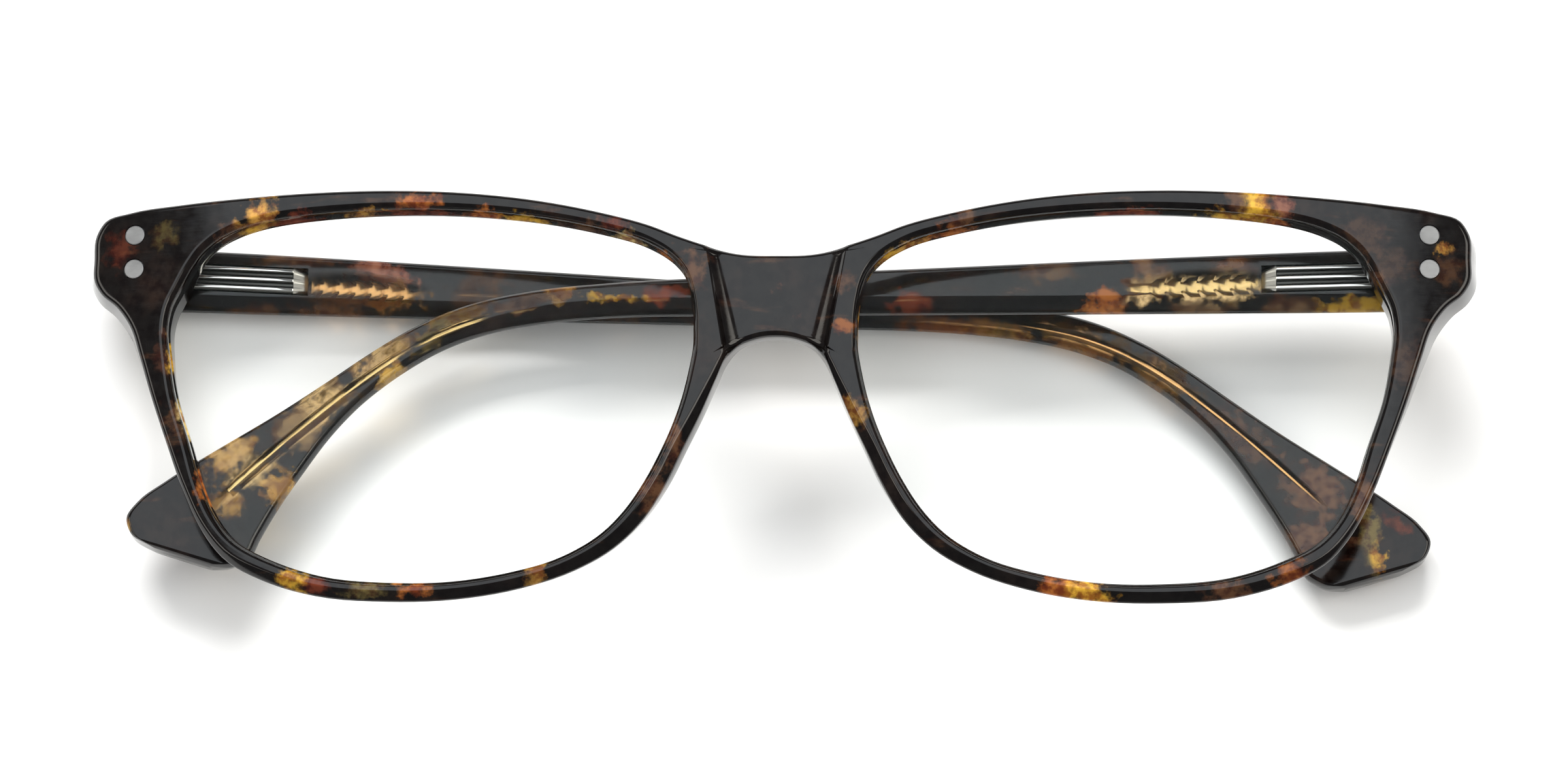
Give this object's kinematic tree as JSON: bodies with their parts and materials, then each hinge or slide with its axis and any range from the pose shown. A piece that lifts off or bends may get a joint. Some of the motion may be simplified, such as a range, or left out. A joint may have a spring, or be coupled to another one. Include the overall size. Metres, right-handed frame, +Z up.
{
  "type": "eyeglasses frame",
  "caption": "Folded full-rim acetate eyeglasses frame with sculpted bridge, riveted end pieces, spring-hinged temples and clear dummy lenses",
  "frame": {"origin": "bottom centre of the object's box: on the surface it lies on, midway along its width and its height", "axes": "+X along the front's width, +Y from the chin side to the brow side, +Z up through the front's outer face"},
  "size_m": [0.1386, 0.0416, 0.0217],
  "materials": {
    "front_acetate": "polished tortoiseshell acetate, near black with amber and red-brown patches",
    "temple_acetate": "polished tortoiseshell acetate, near black with amber and red-brown patches",
    "pad_acetate": "polished dark acetate",
    "clear_lens": "clear polished dummy lens",
    "rivet_metal": "fine satin, filed flush",
    "hinge_metal": "satin nickel silver",
    "case_nickel_silver": "polished nickel silver",
    "core_wire_metal": "bright drawn nickel silver",
    "screw_steel": "turned steel",
    "spring_steel": "spring steel"
  },
  "bodies": {
    "front": {"front": "front_acetate", "lens_left": "clear_lens", "lens_right": "clear_lens", "nose_pad_left": "pad_acetate", "nose_pad_right": "pad_acetate", "rivet_upper_left": "rivet_metal", "rivet_lower_left": "rivet_metal", "rivet_upper_right": "rivet_metal", "rivet_lower_right": "rivet_metal", "hinge_plate_left": "hinge_metal", "hinge_plate_right": "hinge_metal", "hinge_screw_left": "screw_steel", "hinge_screw_right": "screw_steel"},
    "slider_left": {"hinge_slider_left": "hinge_metal", "rod_nut_left": "screw_steel"},
    "temple_left": {"temple_left": "temple_acetate", "spring_case_left": "case_nickel_silver", "spring_stop_left": "screw_steel", "flex_spring_left": "spring_steel", "core_wire_left": "core_wire_metal"},
    "slider_right": {"hinge_slider_right": "hinge_metal", "rod_nut_right": "screw_steel"},
    "temple_right": {"temple_right": "temple_acetate", "spring_case_right": "case_nickel_silver", "spring_stop_right": "screw_steel", "flex_spring_right": "spring_steel", "core_wire_right": "core_wire_metal"}
  },
  "joints": [
    {"name": "fold_left", "type": "hinge", "parent": "front", "child": "slider_left", "pos_m": [-0.06428, 0.0149, 0.0045], "axis": [0, 1, 0], "range_deg": [0, 85.4]},
    {"name": "flex_left", "type": "slide", "parent": "slider_left", "child": "temple_left", "axis": [1, 0, 0], "range_m": [0, 0.002], "stiffness_N_per_m": 1500, "deforming": ["flex_spring_left"]},
    {"name": "fold_right", "type": "hinge", "parent": "front", "child": "slider_right", "pos_m": [0.06454, 0.0149, 0.01125], "axis": [0, -1, 0], "range_deg": [0, 90]},
    {"name": "flex_right", "type": "slide", "parent": "slider_right", "child": "temple_right", "axis": [-0.9997, 0, -0.0244], "range_m": [0, 0.002], "stiffness_N_per_m": 1500, "deforming": ["flex_spring_right"]}
  ]
}
